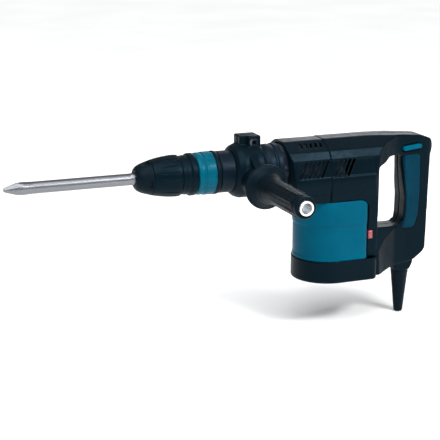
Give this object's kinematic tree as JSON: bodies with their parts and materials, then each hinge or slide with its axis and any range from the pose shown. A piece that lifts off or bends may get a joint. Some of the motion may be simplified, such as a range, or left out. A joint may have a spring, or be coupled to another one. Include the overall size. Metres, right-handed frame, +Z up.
{
  "type": "electric demolition hammer",
  "caption": "Electric jackhammer with a bull-point chisel, quick-release chuck, swivelling side grip, upright motor housing and a D-shaped rear handle.",
  "frame": {"origin": "centre of the motor in plan, on the flat underside of the bottom cover", "axes": "-X towards the chisel point, +X towards the rear handle, -Y along the side grip, +Z up; the hammer axis is parallel to X at Z = 0.174"},
  "size_m": [0.6625, 0.266, 0.2974],
  "materials": {
    "steel": "satin",
    "cast_metal": "cast",
    "black_metal": "satin",
    "black_steel": "satin",
    "copper": "satin",
    "black_plastic": "grained",
    "teal_plastic": "satin",
    "teal_rubber": "satin",
    "ring_plastic": "satin",
    "rubber": "matt",
    "zinc_tube": "satin",
    "red_lens": "gloss"
  },
  "bodies": {
    "body": {"barrel": "black_metal", "cylinder_liner": "steel", "crank_housing": "cast_metal", "crank_lid": "cast_metal", "lid_screws": "steel", "bearing_plate": "cast_metal", "bearings": "steel", "stator_core": "steel", "field_coils": "copper", "brush_holders": "copper", "carbon_brushes": "black_plastic", "brush_springs": "steel", "motor_frame": "black_plastic", "motor_housing": "teal_plastic", "bottom_cover": "black_plastic", "base_screws": "steel", "crank_cover": "black_plastic", "handle_shell_left": "black_plastic", "handle_shell_right": "black_plastic", "shell_screws": "steel", "grip_pads": "teal_rubber", "switch_body": "black_plastic", "control_unit": "black_plastic", "dial_board": "black_plastic", "service_lamp": "red_lens", "cord_guard": "rubber", "guide_ring": "black_plastic", "bumper_ring": "rubber"},
    "tool_holder": {"tool_holder": "steel", "locking_bars": "steel", "front_cap": "rubber", "cover_spring": "steel"},
    "chisel": {"chisel": "steel"},
    "release_cover": {"release_cover": "black_plastic", "lock_collar": "steel"},
    "change_ring": {"change_ring": "ring_plastic"},
    "impact_bolt": {"impact_bolt": "steel"},
    "side_grip": {"grip_clamp": "black_plastic", "clamp_bolt": "black_steel", "clamp_nut": "black_steel", "grip_tube": "zinc_tube", "grip_sleeve": "rubber"},
    "switch_lever": {"switch_lever": "teal_plastic"},
    "speed_dial": {"speed_dial": "black_plastic"},
    "armature": {"armature_shaft": "steel", "armature_core": "steel", "armature_windings": "copper", "commutator": "copper", "cooling_fan": "black_plastic"},
    "crank": {"crankshaft": "steel", "crank_gear": "steel"},
    "piston": {"piston": "steel", "piston_o_ring": "rubber", "wrist_pin": "steel"},
    "connecting_rod": {"connecting_rod": "steel", "rod_bearing": "steel"},
    "striker": {"striker": "steel", "striker_o_ring": "rubber"}
  },
  "joints": [
    {"name": "holder_turn", "type": "hinge", "parent": "body", "child": "tool_holder", "pos_m": [-0.25, 0, 0.174], "axis": [1, 0, 0], "continuous": true},
    {"name": "change_ring_turn", "type": "hinge", "parent": "body", "child": "change_ring", "pos_m": [-0.197, 0, 0.174], "axis": [1, 0, 0], "continuous": true},
    {"name": "release_cover_slide", "type": "slide", "parent": "tool_holder", "child": "release_cover", "axis": [1, 0, 0], "range_m": [0, 0.006], "stiffness_N_per_m": 1500, "springref_m": -0.006, "deforming": ["cover_spring"]},
    {"name": "chisel_slide", "type": "slide", "parent": "tool_holder", "child": "chisel", "axis": [-1, 0, 0], "range_m": [0, 0.018]},
    {"name": "impact_bolt_slide", "type": "slide", "parent": "tool_holder", "child": "impact_bolt", "axis": [-1, 0, 0], "range_m": [0, 0.008]},
    {"name": "side_grip_swing", "type": "hinge", "parent": "body", "child": "side_grip", "pos_m": [-0.132, 0, 0.174], "axis": [1, 0, 0], "continuous": true},
    {"name": "switch_lever_slide", "type": "slide", "parent": "body", "child": "switch_lever", "axis": [0, 1, 0], "range_m": [0, 0.007]},
    {"name": "speed_dial_turn", "type": "hinge", "parent": "body", "child": "speed_dial", "pos_m": [0.036, 0.048, 0.176], "axis": [0, 1, 0], "range_deg": [0, 270]},
    {"name": "armature_spin", "type": "hinge", "parent": "body", "child": "armature", "pos_m": [0, 0, 0.07], "axis": [0, 0, 1], "continuous": true},
    {"name": "crank_spin", "type": "hinge", "parent": "body", "child": "crank", "pos_m": [-0.03, 0, 0.14], "axis": [0, 0, 1], "continuous": true},
    {"name": "piston_slide", "type": "slide", "parent": "body", "child": "piston", "axis": [-1, 0, 0], "range_m": [0, 0.028]},
    {"name": "rod_pivot", "type": "hinge", "parent": "piston", "child": "connecting_rod", "pos_m": [-0.068, 0, 0.174], "axis": [0, 0, 1], "range_deg": [-14, 14]},
    {"name": "striker_slide", "type": "slide", "parent": "body", "child": "striker", "axis": [1, 0, 0], "range_m": [-0.005, 0.02]}
  ],
  "couplings": [
    {"joint": "change_ring_turn", "follows": "holder_turn", "ratio": 1},
    {"joint": "crank_spin", "follows": "armature_spin", "ratio": -0.2},
    {"joint": "impact_bolt_slide", "follows": "chisel_slide", "ratio": 0.44444}
  ]
}
